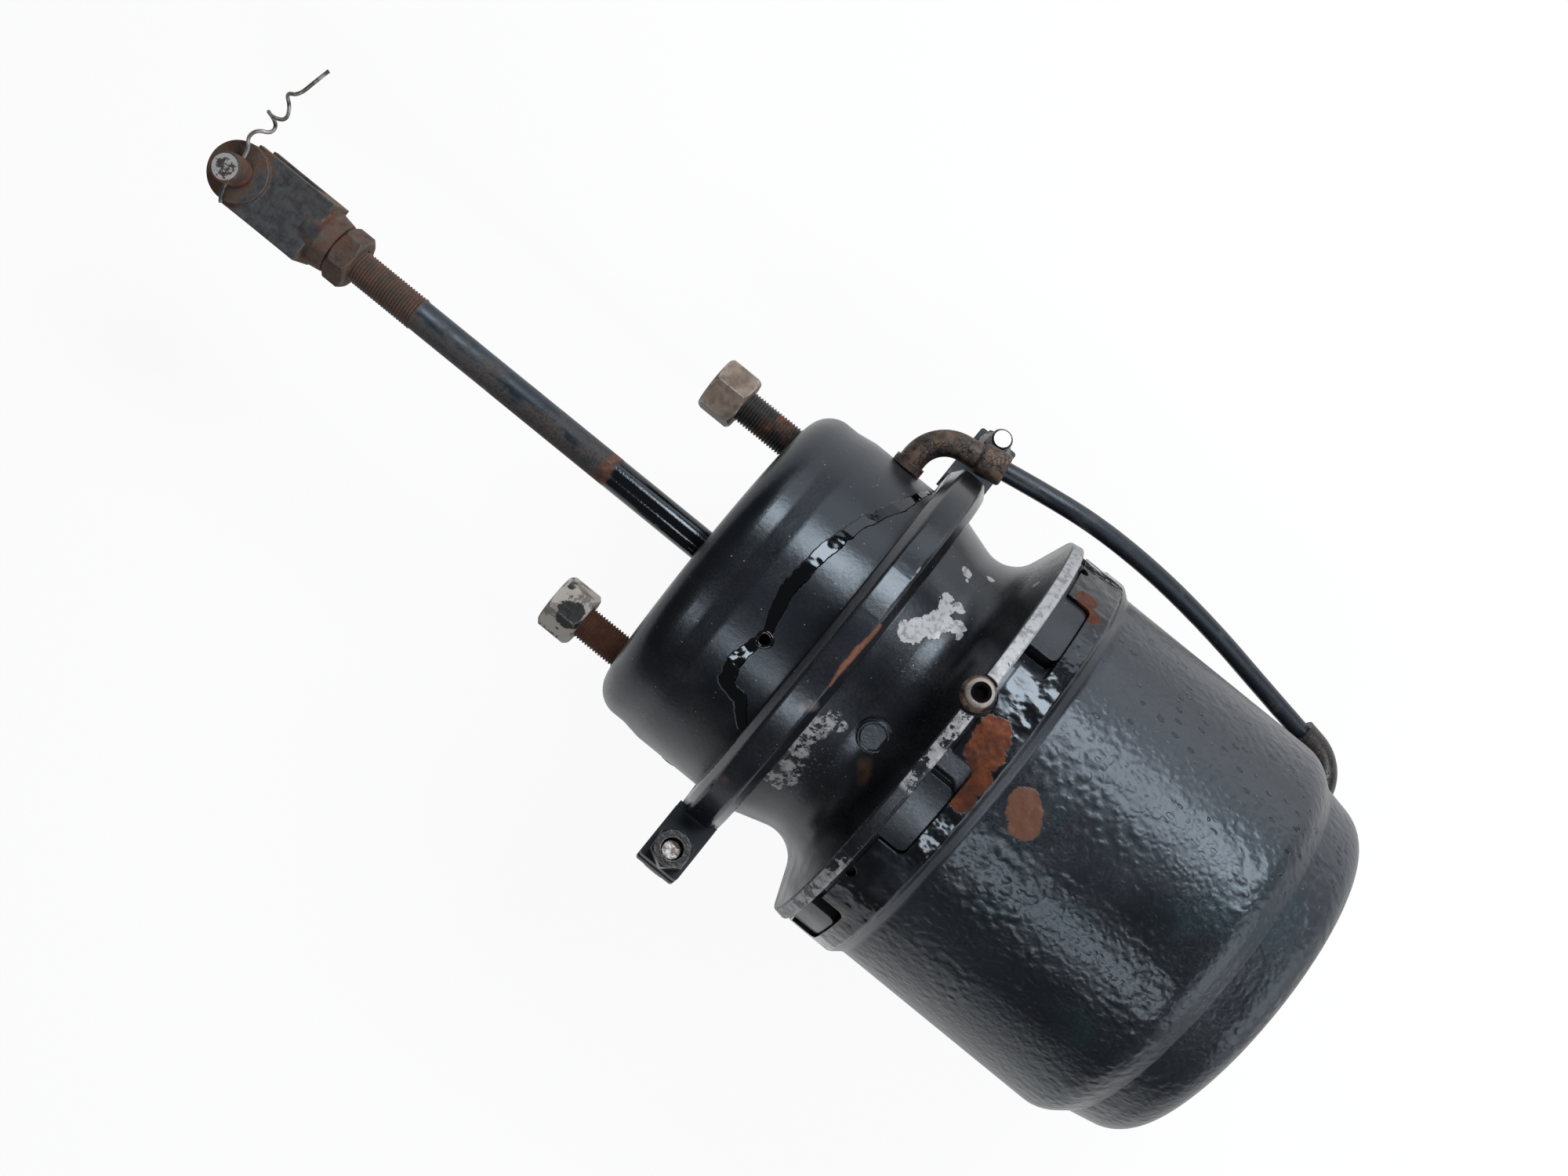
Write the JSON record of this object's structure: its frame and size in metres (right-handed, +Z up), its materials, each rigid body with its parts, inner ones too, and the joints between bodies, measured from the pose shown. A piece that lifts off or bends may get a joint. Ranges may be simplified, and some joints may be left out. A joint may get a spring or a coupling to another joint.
{
  "type": "spring brake chamber",
  "caption": "Air brake chamber with a diaphragm service side, a bayonet-locked spring side, a clamp ring, mounting studs and a push rod with clevis.",
  "frame": {"origin": "on the chamber's axis in the plane of the mounting face, where the two studs stand out", "axes": "+X along the axis from the mounting face to the spring can's end, +Y along the line of the two studs, +Z up towards the side where the clamp bolts' ends stand out"},
  "size_m": [0.601, 0.2473, 0.2117],
  "materials": {
    "housing_paint": "gloss black",
    "flange_paint": "worn black over aluminium",
    "can_paint": "blistered satin black",
    "clamp_paint": "satin black",
    "rod_steel": "dark, dusty",
    "rusty_steel": "rusty",
    "worn_steel": "worn zinc plating",
    "wire_steel": "bright",
    "spring_steel": "oiled",
    "cast_alloy": "as cast",
    "soft_rubber": "matt black",
    "hose_rubber": "satin black",
    "black_plastic": "dusty",
    "pale_plastic": "matt"
  },
  "bodies": {
    "chamber": {"service_housing": "housing_paint", "mounting_studs": "rusty_steel", "stud_nuts": "worn_steel", "rod_dust_seal": "soft_rubber", "drain_plugs": "black_plastic", "service_diaphragm": "soft_rubber", "return_spring": "spring_steel", "clamp_half_near": "clamp_paint", "clamp_half_far": "clamp_paint", "clamp_bolts": "worn_steel", "clamp_nuts": "worn_steel", "intermediate_flange": "flange_paint", "retaining_ring": "spring_steel", "can_seal": "soft_rubber", "tube_bush": "pale_plastic", "tube_seal": "soft_rubber", "lock_screw": "worn_steel", "spring_can": "can_paint", "release_bush": "worn_steel", "release_washer": "worn_steel", "power_spring": "spring_steel", "front_elbow": "black_plastic", "rear_elbow": "black_plastic", "breather_hose": "hose_rubber"},
    "rod": {"push_plate": "rod_steel", "push_rod": "rod_steel", "clevis": "rusty_steel", "jam_nut": "rusty_steel"},
    "pin": {"clevis_pin": "rusty_steel", "locking_wire": "wire_steel"},
    "piston": {"spring_piston": "cast_alloy", "piston_seal": "soft_rubber", "piston_guide_ring": "pale_plastic", "piston_tube": "rod_steel", "stop_ring": "worn_steel"},
    "release": {"release_bolt": "worn_steel"}
  },
  "joints": [
    {"name": "rod_stroke", "type": "slide", "parent": "chamber", "child": "rod", "axis": [-1, 0, 0], "range_m": [-0.057, 0.007], "deforming": ["return_spring", "service_diaphragm"]},
    {"name": "piston_stroke", "type": "slide", "parent": "chamber", "child": "piston", "axis": [-1, 0, 0], "range_m": [-0.057, 0.007], "deforming": ["power_spring"]},
    {"name": "clevis_pin_turn", "type": "hinge", "parent": "rod", "child": "pin", "pos_m": [-0.266, 0, 0], "axis": [0, 0, 1], "continuous": true},
    {"name": "release_bolt_turn", "type": "hinge", "parent": "chamber", "child": "release", "pos_m": [0.3, 0, 0], "axis": [1, 0, 0], "continuous": true}
  ],
  "couplings": [
    {"joint": "piston_stroke", "follows": "rod_stroke", "ratio": 1}
  ]
}
